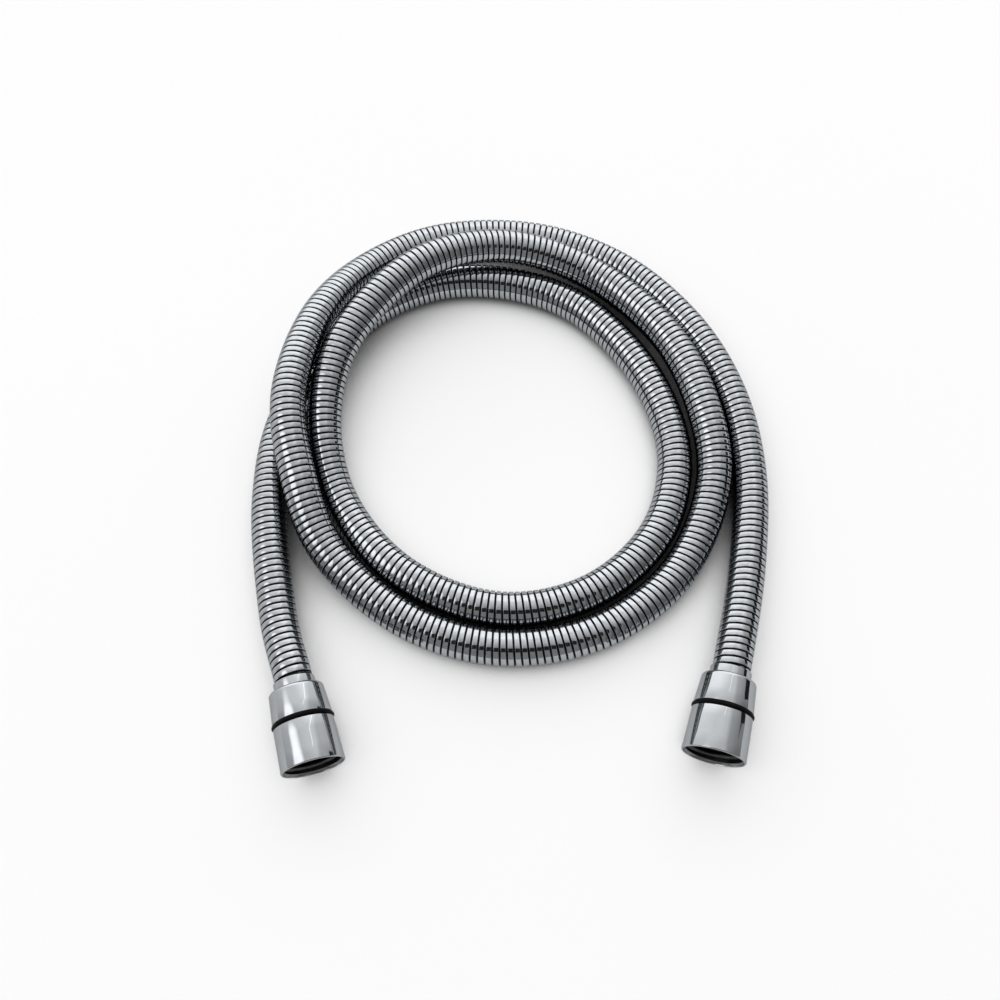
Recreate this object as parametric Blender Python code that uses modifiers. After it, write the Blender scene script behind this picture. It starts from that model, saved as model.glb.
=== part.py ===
"""Extendable shower hose: a flexible spiral metal hose with a swivelling coupling nut on each end.

Metres, +Z up, the surface it lies on at z = 0 and the middle of the coil's outline over the origin.
Each end fitting is drawn along its own axis, with distances measured from the mouth of its nut.
"""

import math

import bpy
from mathutils import Matrix, Vector

# Hose and the liner inside it
HOSE_D = 0.0144
HOSE_WALL = 0.00055
LINER_WALL = 0.0013
TUBE_POINTS = 80
HOSE_BEVEL_STEPS = 3
LINER_BEVEL_STEPS = 2

# Clearances: pieces that touch end to end, round pieces that turn, loose round pieces in the nut's
# socket, and round pieces that are crimped on
SEAT_GAP = 0.0003
TURN_GAP = 0.00035
SOCKET_GAP = 0.0004
CRIMP_GAP = 0.0002

# Coupling nut: its inside pipe thread, and its walls outside that thread and behind it
NUT_LENGTH = 0.0300
THREAD_MAJOR_D = 0.020955
THREAD_HEIGHT = 0.0011625
MOUTH_WALL = 0.00137
RING_WALL = 0.00077
REAR_WALL = 0.00205
REAR_ROUND = 0.0016
MOUTH_EDGE = 0.0004
MOUTH_LEAD_IN = 0.0013
SOCKET_DEPTH = 0.0097

# Grip ring in its groove
GRIP_RING_AT = 0.0172
GRIP_RING_SECTION_D = 0.0018
GRIP_RING_PROUD = 0.0004

# Sealing washer and slip ring
WASHER_BORE_D = 0.0100
WASHER_THICK = 0.0020
SLIP_RING_THICK = 0.0010

# Hose nipple
FLANGE_THICK = 0.0018
NECK_LENGTH = 0.0030
TAIL_LENGTH = 0.0150
TAIL_WALL = 0.0006
BARB_HEIGHT = 0.0003
BARB_COUNT = 3

# End sleeve round the hose, and crimp sleeve round the liner
SLEEVE_WALL = 0.0004
SLEEVE_LIP = 0.0008
SLEEVE_SHOWS = 0.0033
CRIMP_WALL = 0.0004
CRIMP_LENGTH = 0.0120

# Places of the two ends: the middle of each nut's mouth, and its turn from -Y towards +X in degrees
ENDS = {
    "inlet": ((-0.0713, -0.1224), 16.8),
    "outlet": ((0.0733, -0.1186), -16.1),
}

# Route of the hose between the two straight ends, in millimetres: left leg, inner turn, middle turn
# over the left leg, outer turn over the left leg, right leg
ROUTE_MM = [
    (-90, -61.5, 9.5), (-97, -14, 9), (-92, 28.5, 7.5), (-66, 71, 7.5), (-35, 90.5, 7.5),
    (0, 91.5, 7.5), (32, 77.5, 7.5), (57.5, 45, 8), (68, 7, 8), (59, -28.5, 7.5),
    (31.5, -54, 7.5), (-6, -61, 7.5), (-44, -45, 7.5), (-69.5, -13, 8), (-76.5, 23, 15.5),
    (-67, 58, 21.5), (-38, 90, 25), (-1, 102.5, 20), (36.5, 92, 14), (66, 62, 14),
    (80, 27, 14), (82.5, -8.5, 10.5), (66.5, -45, 7.5), (35.5, -69.5, 8), (-3, -76.5, 7.5),
    (-40.5, -65.5, 8.5), (-71.5, -39, 12.5), (-85, -6.5, 20.5), (-90, 27.5, 24), (-81.5, 67.5, 19),
    (-61.5, 99, 9.5), (-29, 116, 7.5), (13, 116, 7.5), (50, 99.5, 7.5), (78, 69.5, 7.5),
    (93.5, 34.5, 7.5), (98, -3.5, 7.5), (93, -44.5, 9),
]
MM = 0.001
STRAIGHT_PAST_SLEEVE = 0.0015
CURVE_STEPS = 16

NUT_STEPS = 32
SLEEVE_STEPS = 32
SMALL_STEPS = 24
GRIP_RING_SECTION_STEPS = 6
ROUND_STEPS = 3

# Places along a fitting's axis, from the nut's mouth
WASHER_REAR = SOCKET_DEPTH + WASHER_THICK
FLANGE_FRONT = WASHER_REAR + SEAT_GAP
FLANGE_REAR = FLANGE_FRONT + FLANGE_THICK
SLIP_RING_FRONT = FLANGE_REAR + SEAT_GAP
SLIP_RING_REAR = SLIP_RING_FRONT + SLIP_RING_THICK
NUT_SHOULDER = SLIP_RING_REAR + SEAT_GAP
SLEEVE_FRONT = SLIP_RING_REAR + SEAT_GAP
HOSE_END = SLEEVE_FRONT + SLEEVE_LIP + SEAT_GAP
NECK_REAR = FLANGE_REAR + NECK_LENGTH
LINER_END = NECK_REAR + SEAT_GAP
SLEEVE_REAR = NUT_LENGTH + SLEEVE_SHOWS
STRAIGHT_END = SLEEVE_REAR + STRAIGHT_PAST_SLEEVE

# Radii from the hose outwards: sleeve, then the nut's rear bore and rear
SLEEVE_BORE_R = HOSE_D / 2 + CRIMP_GAP
SLEEVE_R = SLEEVE_BORE_R + SLEEVE_WALL
REAR_BORE_R = SLEEVE_R + TURN_GAP
NUT_REAR_R = REAR_BORE_R + REAR_WALL

# Radii from the hose inwards: a tube's flats lie inside its outer radius by its number of sides
HOSE_BORE_R = HOSE_D / 2 * math.cos(math.pi / (2 * HOSE_BEVEL_STEPS + 4)) - HOSE_WALL
NECK_R = HOSE_BORE_R - SEAT_GAP
NECK_HOLE_R = NECK_R + SEAT_GAP
CRIMP_R = HOSE_BORE_R - SEAT_GAP
CRIMP_BORE_R = CRIMP_R - CRIMP_WALL
LINER_R = CRIMP_BORE_R - CRIMP_GAP
LINER_BORE_R = LINER_R * math.cos(math.pi / (2 * LINER_BEVEL_STEPS + 4)) - LINER_WALL
BARB_R = LINER_BORE_R - CRIMP_GAP
TAIL_R = BARB_R - BARB_HEIGHT
TAIL_BORE_R = TAIL_R - TAIL_WALL

# Radii from the nut's thread: what lies in its socket, and the nut's outside
THREAD_R = THREAD_MAJOR_D / 2
SOCKET_R = THREAD_R - THREAD_HEIGHT
WASHER_R = SOCKET_R - SEAT_GAP
FLANGE_R = SOCKET_R - SOCKET_GAP
NUT_MOUTH_R = THREAD_R + MOUTH_WALL
NUT_RING_R = THREAD_R + RING_WALL
GRIP_RING_R = NUT_RING_R + GRIP_RING_PROUD - GRIP_RING_SECTION_D / 2
AXIS_HEIGHT = NUT_MOUTH_R


def clear_scene():
    for old in list(bpy.data.objects):
        bpy.data.objects.remove(old, do_unlink=True)


def material(name, color, roughness, metallic):
    made = bpy.data.materials.new(name)
    made.use_nodes = True
    shader = made.node_tree.nodes["Principled BSDF"]
    shader.inputs["Base Color"].default_value = (*color, 1.0)
    shader.inputs["Roughness"].default_value = roughness
    shader.inputs["Metallic"].default_value = metallic
    return made


def fitting_matrix(end):
    """The frame of an end fitting: origin at the nut's mouth, +Z out of the mouth."""
    (x, y), turn = ENDS[end]
    out_of_mouth = Vector((math.sin(math.radians(turn)), -math.cos(math.radians(turn)), 0.0))
    up = Vector((0.0, 0.0, 1.0))
    side = up.cross(out_of_mouth)
    rotation = Matrix((side, up, out_of_mouth)).transposed().to_4x4()
    return Matrix.Translation((x, y, AXIS_HEIGHT)) @ rotation


def on_axis(end, depth):
    """The point on a fitting's axis that lies depth behind the nut's mouth."""
    return fitting_matrix(end) @ Vector((0.0, 0.0, -depth))


def turned(name, profile, steps, end, collection, finish):
    """A turned piece. profile lists (radius, depth behind the mouth): down its outer side towards the
    rear, then back up its bore."""
    mesh = bpy.data.meshes.new(name)
    points = [(radius, 0.0, -depth) for radius, depth in profile]
    loop = [(i, (i + 1) % len(points)) for i in range(len(points))]
    mesh.from_pydata(points, loop, [])
    made = bpy.data.objects.new(name, mesh)
    collection.objects.link(made)
    screw = made.modifiers.new("Turn", "SCREW")
    screw.steps = steps
    screw.render_steps = steps
    screw.use_merge_vertices = True
    screw.merge_threshold = 0.000001
    screw.use_smooth_shade = True
    made.matrix_world = fitting_matrix(end)
    made.data.materials.append(finish)
    return made


def quarter_round(radius, depth, size):
    """Points of a rounded outer corner whose end face is at depth, from its side to its end face."""
    points = []
    for i in range(ROUND_STEPS + 1):
        angle = math.pi / 2 * i / ROUND_STEPS
        points.append((radius - size + size * math.cos(angle), depth - size + size * math.sin(angle)))
    return points


def nut_radius(depth):
    """Outer radius of the nut: a flare in two slopes that meet at the grip ring."""
    if depth < GRIP_RING_AT:
        return NUT_MOUTH_R + (NUT_RING_R - NUT_MOUTH_R) * depth / GRIP_RING_AT
    share = (depth - GRIP_RING_AT) / (NUT_LENGTH - GRIP_RING_AT)
    return NUT_RING_R + (NUT_REAR_R - NUT_RING_R) * share


def coupling_nut(end, collection, finish):
    groove_half = GRIP_RING_SECTION_D / 2 + CRIMP_GAP
    groove_r = GRIP_RING_R - GRIP_RING_SECTION_D / 2 - CRIMP_GAP
    groove_front = GRIP_RING_AT - groove_half
    groove_rear = GRIP_RING_AT + groove_half
    profile = [
        (NUT_MOUTH_R - MOUTH_EDGE, 0.0),
        (NUT_MOUTH_R, MOUTH_EDGE),
        (nut_radius(groove_front), groove_front),
        (groove_r, groove_front),
        (groove_r, groove_rear),
        (nut_radius(groove_rear), groove_rear),
        *quarter_round(NUT_REAR_R, NUT_LENGTH, REAR_ROUND),
        (REAR_BORE_R, NUT_LENGTH),
        (REAR_BORE_R, NUT_SHOULDER),
        (SOCKET_R, NUT_SHOULDER),
        (SOCKET_R, MOUTH_LEAD_IN),
        (THREAD_R, 0.0),
    ]
    return turned(f"{end}_coupling_nut", profile, NUT_STEPS, end, collection, finish)


def grip_ring(end, collection, finish):
    bpy.ops.mesh.primitive_torus_add(
        major_radius=GRIP_RING_R,
        minor_radius=GRIP_RING_SECTION_D / 2,
        major_segments=NUT_STEPS,
        minor_segments=GRIP_RING_SECTION_STEPS,
    )
    made = bpy.context.object
    made.name = f"{end}_grip_ring"
    made.matrix_world = fitting_matrix(end) @ Matrix.Translation((0.0, 0.0, -GRIP_RING_AT))
    made.data.shade_smooth()
    made.data.materials.append(finish)
    for other in list(made.users_collection):
        other.objects.unlink(made)
    collection.objects.link(made)
    return made


def plain_ring(name, outer_r, bore_r, front, rear, steps, end, collection, finish):
    profile = [(outer_r, front), (outer_r, rear), (bore_r, rear), (bore_r, front)]
    return turned(name, profile, steps, end, collection, finish)


def sealing_washer(end, collection, finish):
    return plain_ring(f"{end}_sealing_washer", WASHER_R, WASHER_BORE_D / 2, SOCKET_DEPTH, WASHER_REAR,
                      SMALL_STEPS, end, collection, finish)


def slip_ring(end, collection, finish):
    return plain_ring(f"{end}_slip_ring", FLANGE_R, NECK_HOLE_R, SLIP_RING_FRONT, SLIP_RING_REAR,
                      SMALL_STEPS, end, collection, finish)


def crimp_sleeve(end, collection, finish):
    return plain_ring(f"{end}_crimp_sleeve", CRIMP_R, CRIMP_BORE_R, LINER_END,
                      LINER_END + CRIMP_LENGTH, SMALL_STEPS, end, collection, finish)


def hose_nipple(end, collection, finish):
    """Flange for the nut, neck through the sleeve's lip, and a tail of barbs that point to the flange."""
    barb_pitch = TAIL_LENGTH / BARB_COUNT
    profile = [
        (FLANGE_R, FLANGE_FRONT),
        (FLANGE_R, FLANGE_REAR),
        (NECK_R, FLANGE_REAR),
        (NECK_R, NECK_REAR),
        (TAIL_R, NECK_REAR),
    ]
    for i in range(BARB_COUNT):
        step = NECK_REAR + barb_pitch * (i + 0.5)
        profile.append((TAIL_R, step))
        profile.append((BARB_R, step))
        profile.append((TAIL_R, step + barb_pitch / 2))
    profile.append((TAIL_BORE_R, NECK_REAR + TAIL_LENGTH))
    profile.append((TAIL_BORE_R, FLANGE_FRONT))
    return turned(f"{end}_hose_nipple", profile, SMALL_STEPS, end, collection, finish)


def end_sleeve(end, collection, finish):
    """A cup round the end of the hose, open to the rear, with its lip round the nipple's neck."""
    profile = [
        (SLEEVE_R, SLEEVE_FRONT),
        (SLEEVE_R, SLEEVE_REAR),
        (SLEEVE_BORE_R, SLEEVE_REAR),
        (SLEEVE_BORE_R, SLEEVE_FRONT + SLEEVE_LIP),
        (NECK_HOLE_R, SLEEVE_FRONT + SLEEVE_LIP),
        (NECK_HOLE_R, SLEEVE_FRONT),
    ]
    return turned(f"{end}_end_sleeve", profile, SLEEVE_STEPS, end, collection, finish)


def smooth_curve(points):
    """Points of a smooth curve from the second point to the last but one, with the end points as guides."""
    curve = []
    for i in range(1, len(points) - 2):
        before, here, after, beyond = points[i - 1 : i + 3]
        for k in range(CURVE_STEPS):
            t = k / CURVE_STEPS
            curve.append(
                0.5 * (2 * here + (after - before) * t
                       + (2 * before - 5 * here + 4 * after - beyond) * t**2
                       + (3 * here - before - 3 * after + beyond) * t**3)
            )
    curve.append(points[-2])
    return curve


def evenly(points, count):
    """count points at even steps along a chain of points."""
    along = [0.0]
    for a, b in zip(points, points[1:]):
        along.append(along[-1] + (b - a).length)
    spaced = []
    k = 0
    for i in range(count):
        want = along[-1] * i / (count - 1)
        while k < len(points) - 2 and along[k + 1] < want:
            k += 1
        share = (want - along[k]) / (along[k + 1] - along[k])
        spaced.append(points[k].lerp(points[k + 1], share))
    return spaced


def hose_line(end_depth):
    """The hose's middle line, from end_depth behind one mouth to end_depth behind the other."""
    first = on_axis("inlet", end_depth)
    last = on_axis("outlet", end_depth)
    route = [Vector(point) * MM for point in ROUTE_MM]
    guides = [first, on_axis("inlet", STRAIGHT_END), *route, on_axis("outlet", STRAIGHT_END), last]
    return [first, *evenly(smooth_curve(guides), TUBE_POINTS - 2), last]


def tube(name, line, radius, wall, bevel_steps, collection, finish):
    """A hollow tube along a line, open at both ends, with its wall inside its outer radius."""
    curve = bpy.data.curves.new(name, "CURVE")
    curve.dimensions = "3D"
    curve.bevel_depth = radius
    curve.bevel_resolution = bevel_steps
    spline = curve.splines.new("POLY")
    spline.points.add(len(line) - 1)
    for point, place in zip(spline.points, line):
        point.co = (*place, 1.0)
    curve.materials.append(finish)
    made = bpy.data.objects.new(name, curve)
    collection.objects.link(made)
    solidify = made.modifiers.new("Wall", "SOLIDIFY")
    solidify.thickness = wall
    solidify.offset = -1.0
    solidify.use_even_offset = True
    return made


def build():
    clear_scene()
    collection = bpy.data.collections.new("extendable_shower_hose")
    bpy.context.scene.collection.children.link(collection)

    chrome = material("chrome", (0.55, 0.56, 0.57), 0.08, 1.0)
    strip_chrome = material("strip_chrome", (0.50, 0.51, 0.52), 0.18, 1.0)
    brass = material("brass", (0.72, 0.52, 0.24), 0.3, 1.0)
    black_rubber = material("black_rubber", (0.012, 0.012, 0.013), 0.55, 0.0)
    liner_rubber = material("liner_rubber", (0.03, 0.03, 0.03), 0.6, 0.0)
    white_plastic = material("white_plastic", (0.78, 0.78, 0.74), 0.4, 0.0)
    steel = material("crimp_steel", (0.45, 0.45, 0.44), 0.35, 1.0)

    tube("spiral_hose", hose_line(HOSE_END), HOSE_D / 2, HOSE_WALL, HOSE_BEVEL_STEPS, collection,
         strip_chrome)
    tube("inner_liner", hose_line(LINER_END), LINER_R, LINER_WALL, LINER_BEVEL_STEPS, collection,
         liner_rubber)
    for end in ENDS:
        coupling_nut(end, collection, chrome)
        grip_ring(end, collection, black_rubber)
        sealing_washer(end, collection, black_rubber)
        hose_nipple(end, collection, brass)
        slip_ring(end, collection, white_plastic)
        end_sleeve(end, collection, chrome)
        crimp_sleeve(end, collection, steel)


build()
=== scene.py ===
"""Looks for the extendable shower hose: the wound strip of the hose, the threaded coupling nuts, the
materials, the floor, the lights and the camera.

Metres, +Z up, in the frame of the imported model. Each end fitting is drawn along its own axis, with
depths measured from the mouth of its nut.
"""

import math

import bpy
import numpy as np
from mathutils import Matrix, Vector


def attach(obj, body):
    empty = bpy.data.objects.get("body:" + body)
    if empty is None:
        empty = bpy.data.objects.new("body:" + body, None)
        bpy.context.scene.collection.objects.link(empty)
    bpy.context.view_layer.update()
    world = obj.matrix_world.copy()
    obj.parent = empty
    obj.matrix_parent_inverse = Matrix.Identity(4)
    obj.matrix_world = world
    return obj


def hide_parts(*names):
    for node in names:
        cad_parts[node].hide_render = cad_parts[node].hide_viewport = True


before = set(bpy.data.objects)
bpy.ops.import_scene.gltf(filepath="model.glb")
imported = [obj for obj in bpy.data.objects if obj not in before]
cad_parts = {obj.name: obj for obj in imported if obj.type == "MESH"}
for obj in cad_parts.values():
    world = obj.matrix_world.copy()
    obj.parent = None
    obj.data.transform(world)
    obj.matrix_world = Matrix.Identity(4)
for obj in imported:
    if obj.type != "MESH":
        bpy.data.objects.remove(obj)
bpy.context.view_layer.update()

# Camera: where it stands, what it looks at, and its lens and sensor in millimetres
CAMERA_AT = (-0.004, -0.1969, 0.4080)
CAMERA_AIM = (-0.004, -0.011, 0.0)
CAMERA_LENS = 39.06
CAMERA_SENSOR = 36.0

# Driving sizes, the same as in the solids
HOSE_D = 0.0144
SEAT_GAP = 0.0003
TURN_GAP = 0.00035
CRIMP_GAP = 0.0002
NUT_LENGTH = 0.0300
THREAD_MAJOR_D = 0.020955
THREAD_HEIGHT = 0.0011625
MOUTH_WALL = 0.00137
RING_WALL = 0.00077
REAR_WALL = 0.00205
REAR_ROUND = 0.0016
MOUTH_EDGE = 0.0004
SOCKET_DEPTH = 0.0097
GRIP_RING_AT = 0.0172
GRIP_RING_SECTION_D = 0.0018
GRIP_RING_PROUD = 0.0004
WASHER_BORE_D = 0.0100
WASHER_THICK = 0.0020
SLIP_RING_THICK = 0.0010
FLANGE_THICK = 0.0018
SLEEVE_WALL = 0.0004
SLEEVE_LIP = 0.0008
SLEEVE_SHOWS = 0.0033
STRAIGHT_PAST_SLEEVE = 0.0015

# Radii that follow from them
HOSE_R = HOSE_D / 2
THREAD_R = THREAD_MAJOR_D / 2
SOCKET_R = THREAD_R - THREAD_HEIGHT
WASHER_R = SOCKET_R - SEAT_GAP
NUT_MOUTH_R = THREAD_R + MOUTH_WALL
NUT_RING_R = THREAD_R + RING_WALL
GRIP_SECTION_R = GRIP_RING_SECTION_D / 2
GRIP_RING_R = NUT_RING_R + GRIP_RING_PROUD - GRIP_SECTION_R
SLEEVE_BORE_R = HOSE_R + CRIMP_GAP
SLEEVE_R = SLEEVE_BORE_R + SLEEVE_WALL
REAR_BORE_R = SLEEVE_R + TURN_GAP
NUT_REAR_R = REAR_BORE_R + REAR_WALL

# Depths that follow from them
WASHER_REAR = SOCKET_DEPTH + WASHER_THICK
SLIP_RING_REAR = WASHER_REAR + SEAT_GAP + FLANGE_THICK + SEAT_GAP + SLIP_RING_THICK
NUT_SHOULDER = SLIP_RING_REAR + SEAT_GAP
HOSE_END = NUT_SHOULDER + SLEEVE_LIP + SEAT_GAP
SLEEVE_REAR = NUT_LENGTH + SLEEVE_SHOWS
STRAIGHT_END = SLEEVE_REAR + STRAIGHT_PAST_SLEEVE

# The two ends: x and y of the middle of each nut's mouth, and the turn of its axis in degrees, from
# pointing along -Y towards +X
ENDS = {
    "inlet": ((-0.0713, -0.1224), 16.8),
    "outlet": ((0.0733, -0.1186), -16.1),
}

# Route of the hose between its two straight ends, in millimetres
MM = 0.001
ROUTE_MM = [
    (-90, -61.5, 9.5), (-97, -14, 9), (-92, 28.5, 7.5), (-66, 71, 7.5), (-35, 90.5, 7.5),
    (0, 91.5, 7.5), (32, 77.5, 7.5), (57.5, 45, 8), (68, 7, 8), (59, -28.5, 7.5),
    (31.5, -54, 7.5), (-6, -61, 7.5), (-44, -45, 7.5), (-69.5, -13, 8), (-76.5, 23, 15.5),
    (-67, 58, 21.5), (-38, 90, 25), (-1, 102.5, 20), (36.5, 92, 14), (66, 62, 14),
    (80, 27, 14), (82.5, -8.5, 10.5), (66.5, -45, 7.5), (35.5, -69.5, 8), (-3, -76.5, 7.5),
    (-40.5, -65.5, 8.5), (-71.5, -39, 12.5), (-85, -6.5, 20.5), (-90, 27.5, 24), (-81.5, 67.5, 19),
    (-61.5, 99, 9.5), (-29, 116, 7.5), (13, 116, 7.5), (50, 99.5, 7.5), (78, 69.5, 7.5),
    (93.5, 34.5, 7.5), (98, -3.5, 7.5), (93, -44.5, 9),
]

# Middle line: steps of the curve from one route point to the next, steps of each straight end, the
# spacing of the points that are kept, and how often they are smoothed
SPAN_STEPS = 40
STRAIGHT_STEPS = 16
LINE_STEP = 0.0005
SMOOTH_PASSES = 6

# Wound strip: one turn per pitch, and its section as (place across the pitch, height over the
# hose's radius, lean of the surface in degrees). The bright chrome faces lie between the gap's
# walls, whose near-black material is painted shade.
STRIP_PITCH = 0.00266
STRIP_SIDES = 28
STRIP_SECTION = [
    (0.00000, -0.00060, -80), (0.00002, -0.00018, -65), (0.00016, 0.00000, -7),
    (0.00184, 0.00000, 7), (0.00198, -0.00018, 65), (0.00200, -0.00060, 80),
]
BRIGHT_FACES = range(1, 4)

# Step where the hose leaves each end sleeve, sunk and painted near-black as shade: its length, its
# depth and the length of its slope
RECESS_LENGTH = 0.0005
RECESS_DEPTH = 0.0005
RECESS_SLOPE = 0.0001

# Inside thread of the nuts: its pitch, the depths where it starts and stops, the turns over which it
# fades in and out, the gap that keeps it off the bore behind it, the steps in each turn, and its
# section as (share of the pitch, share of the height)
THREAD_PITCH = 0.001814
THREAD_START, THREAD_STOP = 0.0009, 0.0091
THREAD_FADE = 0.6
THREAD_GAP = 0.00002
THREAD_STEPS = 64
THREAD_SECTION = [(0.00, 0.02), (0.10, 0.0), (0.42, 0.92), (0.50, 1.0), (0.60, 1.0), (0.68, 0.92)]

# Nut, from its mouth back along the outside: the inner edge of its rim as (distance in from the
# outside, depth), the depths that divide its straight outside, the ring's groove, and the rear round
RIM_INNER_EDGE = [(0.00075, 0.00022), (0.00072, 0.00005), (0.00064, 0.0)]
FRONT_DEPTHS = (0.006, 0.012)
REAR_DEPTH = 0.023
GROOVE_GAP = 0.0001
GROOVE_EDGE = 0.00012
REAR_ROUND_ANGLES = (4, 86)
REAR_EDGE = 0.00015
REAR_FLAT = 0.0001

# Nut, from its socket forward along the inside: the slope up to the thread's root as depths past and
# before the socket's, and the lead-in as (distance out from the thread's root, depth)
SLOPE_REAR = 0.0004
SLOPE_FRONT = 0.0003
LEAD_IN = [(0.0, 0.0011), (0.00042, 0.0006)]

# End sleeve and washer: the hole in the sleeve's front, its edges, its taper, the angle at which its
# rear edge starts, and the washer's edges
SLEEVE_HOLE_R = 0.0063
SLEEVE_FRONT_EDGE = 0.0004
SLEEVE_REAR_EDGE = 0.0002
SLEEVE_TAPER = 0.00005
SLEEVE_EDGE_FROM = 2
WASHER_EDGE = 0.00025

# Steps round the axis, steps round the grip ring's section, and the angles in degrees over which an
# edge is shaded sharp
NUT_STEPS = 112
SLEEVE_STEPS = 96
WASHER_STEPS = 72
GRIP_SECTION_STEPS = 24
SHARP_ANGLE = 40.0
NUT_SHARP_ANGLE = 38.0

# Floor: half its width, how much of its look is plain white while the rest is lit and carries the
# shadow, its colour deep down in the gaps, painted there as shade, and how far the search for open sky
# reaches
FLOOR_HALF = 3.0
FLOOR_WHITE = 0.55
FLOOR_PAINTED_SHADE = (0.12, 0.12, 0.12)
OPEN_SKY_REACH = 0.03

# Surroundings: their strength where both lists say 1, and their level as (place, level), with places
# from -1 at the front or left to 1 at the back or right
WORLD_PEAK = 2.5
FRONT_TO_BACK = [
    (-1.0, 0.15), (-0.45, 0.16), (-0.1, 0.30), (0.05, 0.40), (0.4, 0.54), (0.75, 0.88), (1.0, 0.88),
]
LEFT_TO_RIGHT = [
    (-1.0, 0.88), (-0.85, 0.92), (-0.4, 1.0), (0.35, 1.0), (0.65, 0.62), (1.0, 0.45),
]

# Soft key light from the left: its direction, its level, the angles in degrees of its edge and core,
# and the places between which it fades in from the far left
KEY_TOWARD = (-0.66, -0.10, 0.74)
KEY_LEVEL = 1.6
KEY_EDGE, KEY_CORE = 27.0, 10.0
KEY_FADE = (-0.88, -0.78)

# Black cards and lamp: azimuth and elevation in degrees, distance, width and height
BLACK_CARDS = {
    "card_overhead": (-90, 56, 1.1, 1.0, 0.46),
    "card_right": (11, 10.9, 1.3, 0.58, 0.43),
    "card_right_low": (37, 2.3, 1.3, 0.62, 0.04),
}
SOFTBOX = (57, 55, 1.2, 0.03, 0.7)
SOFTBOX_RADIANCE = 1.0

# Corners of a flat piece, and the one face between them
CORNERS = ((-1, -1), (1, -1), (1, 1), (-1, 1))
ONE_FACE = [(0, 1, 2, 3)]


# Camera

def make_camera():
    data = bpy.data.cameras.new("camera")
    data.lens = CAMERA_LENS
    data.sensor_width = CAMERA_SENSOR
    data.clip_start = 0.01
    camera = bpy.data.objects.new("camera", data)
    bpy.context.scene.collection.objects.link(camera)
    camera.location = CAMERA_AT
    aim = Vector(CAMERA_AIM) - camera.location
    camera.rotation_euler = aim.to_track_quat("-Z", "Y").to_euler()
    bpy.context.scene.camera = camera


make_camera()


# Middle line of the hose

def fitting_matrix(end):
    """From a fitting's own axes, with +Z out of its mouth, to where it lies."""
    (x, y), turn = ENDS[end]
    out = Vector((math.sin(math.radians(turn)), -math.cos(math.radians(turn)), 0.0))
    up = Vector((0.0, 0.0, 1.0))
    rotation = Matrix((up.cross(out), up, out)).transposed().to_4x4()
    return Matrix.Translation((x, y, NUT_MOUTH_R)) @ rotation


def on_axis(end, depth):
    return np.array(fitting_matrix(end) @ Vector((0.0, 0.0, -depth)))


def unit(vectors):
    return vectors / np.linalg.norm(vectors, axis=1)[:, None]


def lengths_along(points):
    return np.concatenate([[0.0], np.cumsum(np.linalg.norm(np.diff(points, axis=0), axis=1))])


def read_at(places, along, values):
    """The vectors at some places along a line, between those known at the lengths in along."""
    return np.stack([np.interp(places, along, values[:, k]) for k in range(3)], axis=1)


def middle_line():
    """Evenly spaced points along a smooth curve through the route."""
    guides = [on_axis("inlet", HOSE_END), on_axis("inlet", STRAIGHT_END)]
    guides += [np.array(p) * MM for p in ROUTE_MM]
    guides += [on_axis("outlet", STRAIGHT_END), on_axis("outlet", HOSE_END)]
    first = guides[1] - guides[0]
    last = guides[-1] - guides[-2]
    curve = [guides[0] + first * k / STRAIGHT_STEPS for k in range(STRAIGHT_STEPS)]
    for i in range(1, len(guides) - 2):
        before, here, after, beyond = guides[i - 1 : i + 3]
        for k in range(SPAN_STEPS):
            t = k / SPAN_STEPS
            squared = (2 * before - 5 * here + 4 * after - beyond) * t**2
            cubed = (3 * here - before - 3 * after + beyond) * t**3
            curve.append(0.5 * (2 * here + (after - before) * t + squared + cubed))
    curve += [guides[-2] + last * k / STRAIGHT_STEPS for k in range(STRAIGHT_STEPS + 1)]
    curve = np.array(curve)
    along = lengths_along(curve)
    line = read_at(np.linspace(0.0, along[-1], int(along[-1] / LINE_STEP)), along, curve)
    for _ in range(SMOOTH_PASSES):
        line[1:-1] = (line[:-2] + 2 * line[1:-1] + line[2:]) / 4
    return line


LINE = middle_line()


def line_frames(line):
    """Length along the line, its direction, and a side that turns with it as little as it can."""
    heading = unit(np.gradient(line, axis=0))
    side = np.zeros_like(line)
    now = np.cross(heading[0], (0.0, 0.0, 1.0))
    for i, ahead in enumerate(heading):
        now = now - ahead * now.dot(ahead)
        now = now / np.linalg.norm(now)
        side[i] = now
    return lengths_along(line), heading, side


# Meshes

def new_object(name, verts, faces, normals=None):
    """An object made of four-sided faces, shaded smooth."""
    mesh = bpy.data.meshes.new(name)
    verts = np.asarray(verts, np.float32)
    faces = np.asarray(faces, np.int32)
    mesh.vertices.add(len(verts))
    mesh.vertices.foreach_set("co", verts.ravel())
    mesh.loops.add(faces.size)
    mesh.loops.foreach_set("vertex_index", faces.ravel())
    mesh.polygons.add(len(faces))
    mesh.polygons.foreach_set("loop_start", np.arange(len(faces), dtype=np.int32) * 4)
    mesh.update(calc_edges=True)
    mesh.polygons.foreach_set("use_smooth", np.ones(len(faces), bool))
    if normals is not None:
        mesh.normals_split_custom_set_from_vertices(np.asarray(normals, np.float32).tolist())
    made = bpy.data.objects.new(name, mesh)
    bpy.context.scene.collection.objects.link(made)
    return made


def arc(centre_r, centre_d, size, start, stop, steps=5):
    """Points of an arc in a turned profile, angles in degrees from outwards towards the rear."""
    points = []
    for i in range(steps + 1):
        angle = math.radians(start + (stop - start) * i / steps)
        points.append((centre_r + size * math.cos(angle), centre_d + size * math.sin(angle)))
    return points


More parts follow.
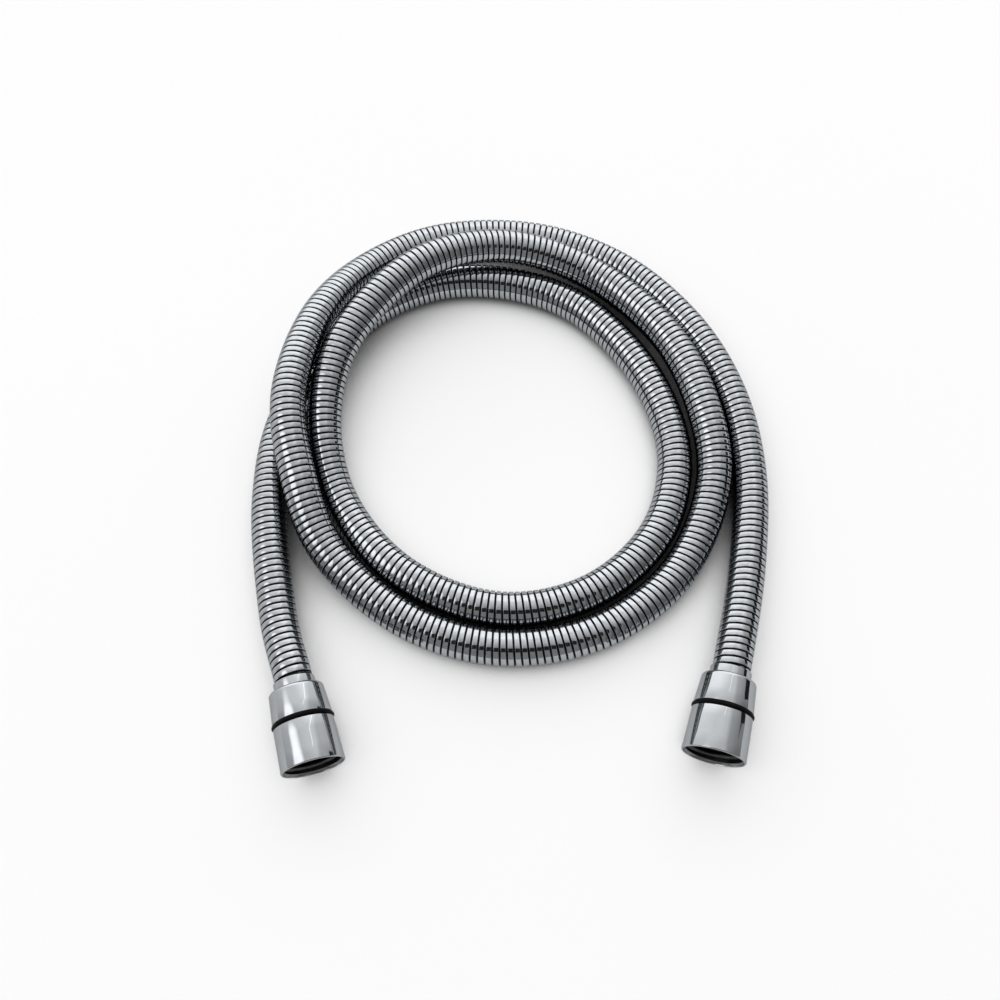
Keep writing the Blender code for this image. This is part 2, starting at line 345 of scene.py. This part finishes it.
def turned_mesh(profile, steps, end):
    """Vertices and faces of a closed profile of (radius, depth) turned round a fitting's axis."""
    matrix = np.array(fitting_matrix(end))
    count = len(profile)
    angle = np.arange(steps) * 2 * math.pi / steps
    radius, depth = [np.array(column) for column in zip(*profile)]
    local = np.stack([
        np.outer(np.cos(angle), radius), np.outer(np.sin(angle), radius),
        np.outer(np.ones(steps), -depth), np.ones((steps, count)),
    ], axis=-1).reshape(-1, 4)
    verts = (local @ matrix.T)[:, :3]
    faces = []
    for i in range(steps):
        n = (i + 1) % steps
        for j in range(count):
            k = (j + 1) % count
            faces.append((i * count + j, i * count + k, n * count + k, n * count + j))
    return verts, np.array(faces)


def turned(name, profile, steps, end):
    verts, faces = turned_mesh(profile, steps, end)
    made = new_object(name, verts, faces)
    made.data.set_sharp_from_angle(angle=math.radians(SHARP_ANGLE))
    return made


# Nodes that the materials are built from

def nodes_of(name, base, metallic, roughness):
    made = bpy.data.materials.new(name)
    made.use_nodes = True
    tree = made.node_tree
    shader = tree.nodes["Principled BSDF"]
    shader.inputs["Base Color"].default_value = (*base, 1.0)
    shader.inputs["Metallic"].default_value = metallic
    shader.inputs["Roughness"].default_value = roughness
    return made, tree, shader


def noise(tree, scale, detail=3.0, stretch=None, coords="Object"):
    place = tree.nodes.new("ShaderNodeTexCoord")
    made = tree.nodes.new("ShaderNodeTexNoise")
    made.inputs["Scale"].default_value = scale
    made.inputs["Detail"].default_value = detail
    source = place.outputs[coords]
    if stretch:
        mapping = tree.nodes.new("ShaderNodeMapping")
        mapping.inputs["Scale"].default_value = stretch
        tree.links.new(source, mapping.inputs["Vector"])
        source = mapping.outputs["Vector"]
    tree.links.new(source, made.inputs["Vector"])
    return made.outputs["Fac"]


def spread(tree, value, low, high, start=0.3, stop=0.7):
    """The value's range from start to stop, laid out from low to high."""
    made = tree.nodes.new("ShaderNodeMapRange")
    made.inputs["From Min"].default_value = start
    made.inputs["From Max"].default_value = stop
    made.inputs["To Min"].default_value = low
    made.inputs["To Max"].default_value = high
    tree.links.new(value, made.inputs["Value"])
    return made.outputs["Result"]


def tint(tree, value, dark, light, start=0.3, stop=0.7):
    """A colour that goes from dark to light as the value goes from start to stop."""
    made = tree.nodes.new("ShaderNodeValToRGB")
    first, last = made.color_ramp.elements
    first.position = start
    first.color = (*dark, 1.0)
    last.position = stop
    last.color = (*light, 1.0)
    tree.links.new(value, made.inputs["Fac"])
    return made.outputs["Color"]


def bump(tree, value, strength, distance, before=None):
    made = tree.nodes.new("ShaderNodeBump")
    made.inputs["Strength"].default_value = strength
    made.inputs["Distance"].default_value = distance
    tree.links.new(value, made.inputs["Height"])
    if before:
        tree.links.new(before, made.inputs["Normal"])
    return made.outputs["Normal"]


def colour_mix(tree, one, two, factor=1.0, blend="MIX"):
    made = tree.nodes.new("ShaderNodeMix")
    made.data_type = "RGBA"
    made.blend_type = blend
    made.inputs["Factor"].default_value = factor
    tree.links.new(one, made.inputs["A"])
    tree.links.new(two, made.inputs["B"])
    return made.outputs["Result"]


def calculated(tree, operation, one, two):
    made = tree.nodes.new("ShaderNodeMath")
    made.operation = operation
    tree.links.new(one, made.inputs[0])
    tree.links.new(two, made.inputs[1])
    return made.outputs["Value"]


# Materials

# Chromium reflects less towards its edges than the plain Fresnel curve says
EDGE_TINT = (0.6, 0.6, 0.6, 1.0)


def chrome_material():
    """Polished chrome plate: a faint waviness of the brass below it and water-spot smears."""
    plate = (0.37, 0.385, 0.40)
    made, tree, shader = nodes_of("polished_chrome", plate, metallic=1.0, roughness=0.06)
    shader.inputs["Specular Tint"].default_value = EDGE_TINT
    smear = noise(tree, 170.0, 4.0)
    smeared = tint(tree, smear, dark=(0.36, 0.375, 0.39), light=(0.39, 0.405, 0.42))
    wave = bump(tree, noise(tree, 90.0, 1.0), strength=0.02, distance=0.00005)
    grain = bump(tree, noise(tree, 2500.0, 2.0), strength=0.03, distance=0.00001, before=wave)
    tree.links.new(spread(tree, smear, 0.035, 0.09), shader.inputs["Roughness"])
    tree.links.new(smeared, shader.inputs["Base Color"])
    tree.links.new(grain, shader.inputs["Normal"])
    return made


def strip_material():
    """Chrome-plated strip: drawn lines along the strip and a tone that drifts from turn to turn."""
    plate = (0.35, 0.365, 0.38)
    made, tree, shader = nodes_of("strip_chrome_plate", plate, metallic=1.0, roughness=0.12)
    shader.inputs["Specular Tint"].default_value = EDGE_TINT
    drawn = noise(tree, 1.0, 3.0, stretch=(110.0, 13.0, 1.0), coords="UV")
    drift = noise(tree, 420.0, 2.0)
    by_lines = tint(tree, drawn, dark=(0.27, 0.283, 0.297), light=(0.46, 0.48, 0.50))
    by_drift = tint(tree, drift, dark=(0.30, 0.314, 0.328), light=(0.45, 0.47, 0.49))
    lines = bump(tree, drawn, strength=0.22, distance=0.00002)
    dents = bump(tree, noise(tree, 700.0, 2.0), strength=0.12, distance=0.00003, before=lines)
    tree.links.new(spread(tree, drawn, 0.045, 0.11), shader.inputs["Roughness"])
    tree.links.new(colour_mix(tree, by_lines, by_drift, factor=0.45), shader.inputs["Base Color"])
    tree.links.new(dents, shader.inputs["Normal"])
    return made


def gap_material():
    """The inner strip seen down in the gaps: dull metal whose near-black colour is painted shade."""
    made, tree, shader = nodes_of("strip_gap", (0.02, 0.02, 0.022), metallic=0.6, roughness=0.5)
    painted_shade_noise = noise(tree, 900.0, 3.0)
    # Painted shade: a near-black tone that varies a little over the gap
    painted_shade = tint(tree, painted_shade_noise, dark=(0.004, 0.004, 0.005), light=(0.02, 0.0205, 0.0215))
    tree.links.new(painted_shade, shader.inputs["Base Color"])
    tree.links.new(spread(tree, painted_shade_noise, 0.4, 0.65), shader.inputs["Roughness"])
    return made


def bore_material(name, level):
    """Inside of the nut: dull metal whose level paints the light, near-black as painted shade deep
    inside and lighter as painted light at the lip; its tone varied by the tool marks.
    """
    made, tree, shader = nodes_of(name, (level, level, level), metallic=1.0, roughness=0.32)
    cut = noise(tree, 1400.0, 3.0)
    dark, light = [(level * k, level * k, level * k * 1.03) for k in (0.7, 1.35)]
    tree.links.new(tint(tree, noise(tree, 350.0, 3.0), dark, light), shader.inputs["Base Color"])
    tree.links.new(spread(tree, cut, 0.25, 0.42), shader.inputs["Roughness"])
    tree.links.new(bump(tree, cut, strength=0.15, distance=0.00002), shader.inputs["Normal"])
    return made


def rubber_material(name, base, roughness):
    """Moulded rubber: a fine grain, and patches that dust makes lighter."""
    made, tree, shader = nodes_of(name, base, metallic=0.0, roughness=roughness)
    shader.inputs["Specular IOR Level"].default_value = 0.04
    grain = noise(tree, 2600.0, 4.0)
    dust = noise(tree, 240.0, 3.0)
    dusty = tuple(c * 2.2 for c in base)
    grainy = spread(tree, grain, roughness - 0.08, roughness + 0.12)
    tree.links.new(tint(tree, dust, base, dusty, start=0.45, stop=0.8), shader.inputs["Base Color"])
    tree.links.new(grainy, shader.inputs["Roughness"])
    tree.links.new(bump(tree, grain, strength=0.35, distance=0.00003), shader.inputs["Normal"])
    return made


def metal_material(name, dark, light, smooth, rough):
    """Machined or pressed metal: turning marks, and a tone that varies with handling."""
    made, tree, shader = nodes_of(name, light, metallic=1.0, roughness=(smooth + rough) / 2)
    marks = noise(tree, 1500.0, 3.0)
    tree.links.new(spread(tree, marks, smooth, rough), shader.inputs["Roughness"])
    tree.links.new(tint(tree, noise(tree, 300.0, 3.0), dark, light), shader.inputs["Base Color"])
    tree.links.new(bump(tree, marks, strength=0.2, distance=0.00002), shader.inputs["Normal"])
    return made


def plastic_material():
    """Moulded acetal: a little light passes into it, and its skin is finely pitted."""
    made, tree, shader = nodes_of("white_acetal", (0.78, 0.78, 0.74), metallic=0.0, roughness=0.4)
    shader.inputs["Subsurface Weight"].default_value = 0.1
    shader.inputs["Subsurface Radius"].default_value = (0.002, 0.002, 0.0015)
    flow = noise(tree, 500.0, 2.0)
    pits = noise(tree, 1800.0, 3.0)
    mottled = tint(tree, flow, dark=(0.74, 0.74, 0.70), light=(0.80, 0.80, 0.76))
    tree.links.new(mottled, shader.inputs["Base Color"])
    tree.links.new(bump(tree, pits, strength=0.15, distance=0.00003), shader.inputs["Normal"])
    return made


CHROME = chrome_material()
# Two copies of the bore's metal: near-black inside as painted shade, lighter at the lip as painted
# light
BORE = bore_material("nut_bore", 0.06)
LIP = bore_material("nut_lip", 0.2)
STRIP = strip_material()
GAP = gap_material()
BLACK_RUBBER = rubber_material("black_rubber", (0.003, 0.003, 0.0033), 0.5)
LINER_RUBBER = rubber_material("liner_rubber", (0.03, 0.03, 0.03), 0.6)
BRASS = metal_material("machined_brass", (0.55, 0.38, 0.16), (0.72, 0.52, 0.24), 0.22, 0.36)
STEEL = metal_material("crimp_steel", (0.36, 0.36, 0.35), (0.46, 0.46, 0.45), 0.28, 0.45)
PLASTIC = plastic_material()


# Hose

def wound_strip():
    """The strip as one surface: bands with rounded edges, and the gap between their turns, painted
    near-black as shade.
    """
    along, heading, side = line_frames(LINE)
    length = along[-1]
    n = STRIP_SIDES
    m = len(STRIP_SECTION)
    count = int(length / STRIP_PITCH * n)
    across, height, lean = [np.array(column) for column in zip(*STRIP_SECTION)]
    step = np.arange(count)

    place = np.clip(step[:, None] / n * STRIP_PITCH + across[None, :], 0.0, length).ravel()
    ahead = unit(read_at(place, along, heading))
    one = read_at(place, along, side)
    one = unit(one - ahead * (one * ahead).sum(axis=1)[:, None])
    two = np.cross(ahead, one)
    angle = np.repeat(step * 2 * math.pi / n, m)
    out = np.cos(angle)[:, None] * one + np.sin(angle)[:, None] * two

    from_sleeve = np.minimum(place, length - place) - (SLEEVE_REAR - HOSE_END)
    sunk = np.clip((RECESS_LENGTH - from_sleeve) / RECESS_SLOPE, 0.0, 1.0)
    radius = HOSE_R + np.tile(height, count) - RECESS_DEPTH * sunk
    verts = read_at(place, along, LINE) + out * radius[:, None]
    leaning = np.tile(np.radians(lean), count)
    normals = np.cos(leaning)[:, None] * out + np.sin(leaning)[:, None] * ahead

    faces = []
    finishes = []
    i = np.arange(count - n - 1)
    for j in range(m):
        a = i * m + j
        b = (i + 1) * m + j
        if j < m - 1:
            faces.append(np.stack([a, b, b + 1, a + 1], axis=1))
        else:
            faces.append(np.stack([a, b, (i + 1 + n) * m, (i + n) * m], axis=1))
        # Gap walls and the sunk step take the near-black gap material, as painted shade
        finishes.append(np.where(sunk[a] > 0.0, 1, 0 if j in BRIGHT_FACES else 1))
    faces = np.concatenate(faces)
    finishes = np.concatenate(finishes)

    made = new_object("spiral_strip", verts, faces, normals)
    made.data.materials.append(STRIP)
    made.data.materials.append(GAP)
    made.data.polygons.foreach_set("material_index", finishes.astype(np.int32))
    layer = made.data.uv_layers.new(name="along_and_across")
    wound = np.repeat(step / n * 2 * math.pi * HOSE_R, m)
    width = np.tile(across / STRIP_PITCH, count)
    uv = np.stack([wound, width], axis=1)[faces.ravel()]
    layer.data.foreach_set("uv", uv.astype(np.float32).ravel())
    return made


strip = wound_strip()
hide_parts("spiral_hose")
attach(strip, "hose")


# End fittings

def nut_radius(depth):
    """Radius of the nut's outside, which narrows to its grip ring and on to its rear."""
    if depth < GRIP_RING_AT:
        return NUT_MOUTH_R + (NUT_RING_R - NUT_MOUTH_R) * depth / GRIP_RING_AT
    share = (depth - GRIP_RING_AT) / (NUT_LENGTH - GRIP_RING_AT)
    return NUT_RING_R + (NUT_REAR_R - NUT_RING_R) * share


def nut_outside():
    """Profile of the nut from its rim's inner edge, along the outside, to the edge of its rear bore."""
    groove_half = GRIP_SECTION_R + GROOVE_GAP
    groove_r = GRIP_RING_R - GRIP_SECTION_R - GROOVE_GAP
    front, rear = GRIP_RING_AT - groove_half, GRIP_RING_AT + groove_half
    front_edge_r = nut_radius(front) - GROOVE_EDGE
    rear_edge_r = nut_radius(rear) - GROOVE_EDGE
    round_at = NUT_LENGTH - REAR_ROUND
    return [
        *[(NUT_MOUTH_R - inward, depth) for inward, depth in RIM_INNER_EDGE],
        *arc(NUT_MOUTH_R - MOUTH_EDGE, MOUTH_EDGE, MOUTH_EDGE, -90, 0),
        *[(nut_radius(depth), depth) for depth in FRONT_DEPTHS],
        *arc(front_edge_r, front - GROOVE_EDGE, GROOVE_EDGE, 0, 90, 3),
        (groove_r, front),
        (groove_r, rear),
        *arc(rear_edge_r, rear + GROOVE_EDGE, GROOVE_EDGE, -90, 0, 3),
        (nut_radius(REAR_DEPTH), REAR_DEPTH),
        *arc(nut_radius(round_at) - REAR_ROUND, round_at, REAR_ROUND, *REAR_ROUND_ANGLES, 8),
        (REAR_BORE_R + REAR_EDGE + REAR_FLAT, NUT_LENGTH),
        *arc(REAR_BORE_R + REAR_EDGE, NUT_LENGTH - REAR_EDGE, REAR_EDGE, 90, 180, 3),
    ]


def nut_bore():
    """Profile of the nut's inside from its rear bore to the root of its thread."""
    return [
        (REAR_BORE_R, NUT_SHOULDER),
        (SOCKET_R, NUT_SHOULDER),
        (SOCKET_R, SOCKET_DEPTH + SLOPE_REAR),
        (THREAD_R, SOCKET_DEPTH - SLOPE_FRONT),
    ]


def thread_mesh(end):
    """The inside thread as a helical surface between its root and its crest."""
    matrix = np.array(fitting_matrix(end))
    n = THREAD_STEPS
    m = len(THREAD_SECTION)
    count = int((THREAD_STOP - THREAD_START) / THREAD_PITCH * n)
    rows = []
    for i in range(count):
        fade = min(1.0, i / (THREAD_FADE * n), (count - 1 - i) / (THREAD_FADE * n))
        angle = 2 * math.pi * i / n
        for across, rise in THREAD_SECTION:
            depth = THREAD_START + (i / n + across) * THREAD_PITCH
            radius = THREAD_R - THREAD_GAP - THREAD_HEIGHT * rise * fade
            rows.append((radius * math.cos(angle), radius * math.sin(angle), -depth, 1.0))
    verts = (np.array(rows) @ matrix.T)[:, :3]
    faces = []
    for i in range(count - 1):
        for j in range(m - 1):
            a = i * m + j
            faces.append((a, a + 1, a + 1 + m, a + m))
        if i + n + 1 < count:
            faces.append((i * m + m - 1, (i + n) * m, (i + n + 1) * m, (i + 1) * m + m - 1))
    return verts, np.array(faces)


def coupling_nut(end):
    """The nut's turned body with the thread inside it: chrome outside, a bore and thread painted dark
    as shade, and a lip painted lighter as light at the mouth.
    """
    outside = nut_outside()
    bore = nut_bore()
    lip = [(THREAD_R + outward, depth) for outward, depth in LEAD_IN]
    verts, faces = turned_mesh(outside + bore + lip, NUT_STEPS, end)
    thread_verts, thread_faces = thread_mesh(end)
    all_verts = np.concatenate([verts, thread_verts])
    all_faces = np.concatenate([faces, thread_faces + len(verts)])
    made = new_object(f"{end}_threaded_nut", all_verts, all_faces)
    made.data.set_sharp_from_angle(angle=math.radians(NUT_SHARP_ANGLE))
    made.data.materials.append(CHROME)
    made.data.materials.append(BORE)
    made.data.materials.append(LIP)
    # Bore and thread take the dark copy (painted shade), the lip the lighter copy (painted light)
    finishes = ([0] * len(outside) + [1] * len(bore) + [2] * len(lip)) * NUT_STEPS
    finishes += [1] * len(thread_faces)
    made.data.polygons.foreach_set("material_index", np.array(finishes, np.int32))
    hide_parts(f"{end}_coupling_nut")
    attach(made, f"{end}_nut")
    return made


def grip_ring(end):
    steps = GRIP_SECTION_STEPS
    profile = arc(GRIP_RING_R, GRIP_RING_AT, GRIP_SECTION_R, 0, 360 - 360 / steps, steps - 1)
    made = turned(f"{end}_rubber_ring", profile, NUT_STEPS, end)
    made.data.materials.append(BLACK_RUBBER)
    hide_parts(f"{end}_grip_ring")
    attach(made, f"{end}_nut")
    return made


def end_sleeve(end):
    """Pressed sleeve, a little tapered, with a rolled rear edge."""
    front = NUT_SHOULDER
    front_edge, rear_edge = SLEEVE_FRONT_EDGE, SLEEVE_REAR_EDGE
    tapered_r = SLEEVE_R - SLEEVE_TAPER
    profile = [
        (SLEEVE_HOLE_R, front),
        *arc(SLEEVE_R - front_edge, front + front_edge, front_edge, -90, 0, 4),
        (SLEEVE_R, NUT_LENGTH),
        *arc(tapered_r - rear_edge, SLEEVE_REAR - rear_edge, rear_edge, SLEEVE_EDGE_FROM, 90, 5),
        (SLEEVE_BORE_R, SLEEVE_REAR),
        (SLEEVE_BORE_R, front + SLEEVE_LIP),
        (SLEEVE_HOLE_R, front + SLEEVE_LIP),
    ]
    made = turned(f"{end}_pressed_sleeve", profile, SLEEVE_STEPS, end)
    made.data.materials.append(CHROME)
    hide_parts(f"{end}_end_sleeve")
    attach(made, "hose")
    return made


def washer(end):
    edge = WASHER_EDGE
    bore_r = WASHER_BORE_D / 2
    profile = [
        *arc(WASHER_R - edge, SOCKET_DEPTH + edge, edge, -90, 0, 4),
        *arc(WASHER_R - edge, WASHER_REAR - edge, edge, 0, 90, 4),
        *arc(bore_r + edge, WASHER_REAR - edge, edge, 90, 180, 4),
        *arc(bore_r + edge, SOCKET_DEPTH + edge, edge, 180, 270, 4),
    ]
    made = turned(f"{end}_rubber_washer", profile, WASHER_STEPS, end)
    made.data.materials.append(BLACK_RUBBER)
    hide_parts(f"{end}_sealing_washer")
    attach(made, "hose")
    return made


for end in ENDS:
    coupling_nut(end)
    grip_ring(end)
    end_sleeve(end)
    washer(end)

for node, finish in {
    "inner_liner": LINER_RUBBER,
    "inlet_hose_nipple": BRASS, "outlet_hose_nipple": BRASS,
    "inlet_slip_ring": PLASTIC, "outlet_slip_ring": PLASTIC,
    "inlet_crimp_sleeve": STEEL, "outlet_crimp_sleeve": STEEL,
}.items():
    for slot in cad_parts[node].material_slots:
        slot.material = finish


# Floor

def floor_material():
    """Plain white in the open, lit so that it carries the shadow, with painted shade: near and between
    the turns the white fades and the colour turns dark as the AO node finds less open sky.
    """
    made, tree, shader = nodes_of("white_floor", (0.93, 0.93, 0.93), metallic=0.0, roughness=0.9)
    shader.inputs["Specular IOR Level"].default_value = 0.1
    sky_node = tree.nodes.new("ShaderNodeAmbientOcclusion")
    sky_node.samples = 6
    sky_node.inputs["Distance"].default_value = OPEN_SKY_REACH
    open_sky = sky_node.outputs["AO"]

    # Painted shade: the colour turns dark where the AO node finds little open sky, deep in the gaps
    colour = tree.nodes.new("ShaderNodeMix")
    colour.data_type = "RGBA"
    colour.inputs["A"].default_value = (*FLOOR_PAINTED_SHADE, 1.0)
    patchy = tint(tree, noise(tree, 4.0, 2.0), (0.925, 0.925, 0.925), (0.935, 0.935, 0.935))
    tree.links.new(spread(tree, open_sky, 0.0, 1.0, start=0.2, stop=0.5), colour.inputs["Factor"])
    tree.links.new(patchy, colour.inputs["B"])
    tree.links.new(colour.outputs["Result"], shader.inputs["Base Color"])

    ray = tree.nodes.new("ShaderNodeLightPath")
    seen = ray.outputs["Is Camera Ray"]
    for kind in ("Is Glossy Ray", "Is Transmission Ray"):
        seen = calculated(tree, "MAXIMUM", seen, ray.outputs[kind])
    # Painted shade too: the white glow fades where the AO node finds little open sky, near and between
    # the turns
    white_share_cut_by_painted_shade = spread(tree, open_sky, 0.0, FLOOR_WHITE, start=0.3, stop=0.75)
    white = tree.nodes.new("ShaderNodeEmission")
    white.inputs["Strength"].default_value = 1.0
    mix = tree.nodes.new("ShaderNodeMixShader")
    tree.links.new(calculated(tree, "MULTIPLY", seen, white_share_cut_by_painted_shade), mix.inputs["Fac"])
    tree.links.new(shader.outputs["BSDF"], mix.inputs[1])
    tree.links.new(white.outputs["Emission"], mix.inputs[2])
    tree.links.new(mix.outputs["Shader"], tree.nodes["Material Output"].inputs["Surface"])
    return made


def make_floor():
    corners = [(sx * FLOOR_HALF, sy * FLOOR_HALF, 0) for sx, sy in CORNERS]
    floor = new_object("floor", corners, ONE_FACE)
    floor.data.materials.append(floor_material())


# Black cards and lamp

def at_direction(azimuth, elevation, distance):
    a, e = math.radians(azimuth), math.radians(elevation)
    return Vector((distance * math.cos(e) * math.cos(a), distance * math.cos(e) * math.sin(a),
                   distance * math.sin(e)))


def card_material():
    made, tree, shader = nodes_of("black_card", (0.01, 0.01, 0.01), metallic=0.0, roughness=0.9)
    patchy = tint(tree, noise(tree, 30.0), (0.008, 0.008, 0.008), (0.014, 0.014, 0.014))
    tree.links.new(patchy, shader.inputs["Base Color"])
    return made


def card(name, azimuth, elevation, distance, width, height, finish):
    """A flat card that faces the middle of the scene, with a level width, unseen by the camera."""
    centre = at_direction(azimuth, elevation, distance)
    facing = (-centre).normalized()
    level = Vector((0.0, 0.0, 1.0)).cross(facing).normalized()
    up = facing.cross(level)
    corners = [centre + level * (sx * width / 2) + up * (sy * height / 2) for sx, sy in CORNERS]
    made = new_object(name, [tuple(c) for c in corners], ONE_FACE)
    made.data.materials.append(finish)
    made.visible_camera = False


def softbox(name, azimuth, elevation, distance, width, height, radiance):
    """An area lamp that faces the middle of the scene, as bright as radiance all over."""
    data = bpy.data.lights.new(name, "AREA")
    data.shape = "RECTANGLE"
    data.size = width
    data.size_y = height
    data.energy = radiance * math.pi * width * height
    made = bpy.data.objects.new(name, data)
    bpy.context.scene.collection.objects.link(made)
    made.location = at_direction(azimuth, elevation, distance)
    made.rotation_euler = (-Vector(made.location)).to_track_quat("-Z", "Y").to_euler()
    made.visible_camera = False


# Surroundings

def ramp(tree, value, stops):
    """A ramp over -1 to 1 through the stops given as (place, level)."""
    made = tree.nodes.new("ShaderNodeValToRGB")
    made.color_ramp.interpolation = "EASE"
    while len(made.color_ramp.elements) < len(stops):
        made.color_ramp.elements.new(1.0)
    for element, (at, level) in zip(made.color_ramp.elements, stops):
        element.position = (at + 1.0) / 2.0
        element.color = (level, level, level, 1.0)
    tree.links.new(spread(tree, value, 0.0, 1.0, start=-1.0, stop=1.0), made.inputs["Fac"])
    return made.outputs["Color"]


def key_light(tree, direction, left_to_right):
    """A soft round patch of light, which fades out towards the far left."""
    toward = tree.nodes.new("ShaderNodeVectorMath")
    toward.operation = "DOT_PRODUCT"
    toward.inputs[1].default_value = Vector(KEY_TOWARD).normalized()
    tree.links.new(direction, toward.inputs[0])
    edge, core = [math.cos(math.radians(angle)) for angle in (KEY_EDGE, KEY_CORE)]
    lobe = spread(tree, toward.outputs["Value"], 0.0, 1.0, edge, core)
    fade = spread(tree, left_to_right, 0.0, KEY_LEVEL / WORLD_PEAK, *KEY_FADE)
    for part in (lobe, fade):
        part.node.interpolation_type = "SMOOTHSTEP"
    return calculated(tree, "MULTIPLY", lobe, fade)


def make_world():
    world = bpy.data.worlds.new("studio")
    bpy.context.scene.world = world
    world.use_nodes = True
    tree = world.node_tree
    place = tree.nodes.new("ShaderNodeTexCoord")
    parts = tree.nodes.new("ShaderNodeSeparateXYZ")
    direction = place.outputs["Generated"]
    tree.links.new(direction, parts.inputs["Vector"])
    front_to_back = ramp(tree, parts.outputs["Y"], FRONT_TO_BACK)
    left_to_right = ramp(tree, parts.outputs["X"], LEFT_TO_RIGHT)
    plain = colour_mix(tree, front_to_back, left_to_right, blend="MULTIPLY")
    key = key_light(tree, direction, parts.outputs["X"])
    background = tree.nodes["Background"]
    tree.links.new(colour_mix(tree, plain, key, blend="ADD"), background.inputs["Color"])
    background.inputs["Strength"].default_value = WORLD_PEAK


make_floor()
BLACK_CARD = card_material()
for name, placing in BLACK_CARDS.items():
    card(name, *placing, BLACK_CARD)
softbox("softbox_strip", *SOFTBOX, SOFTBOX_RADIANCE)
make_world()

bpy.context.scene.view_settings.view_transform = "Standard"
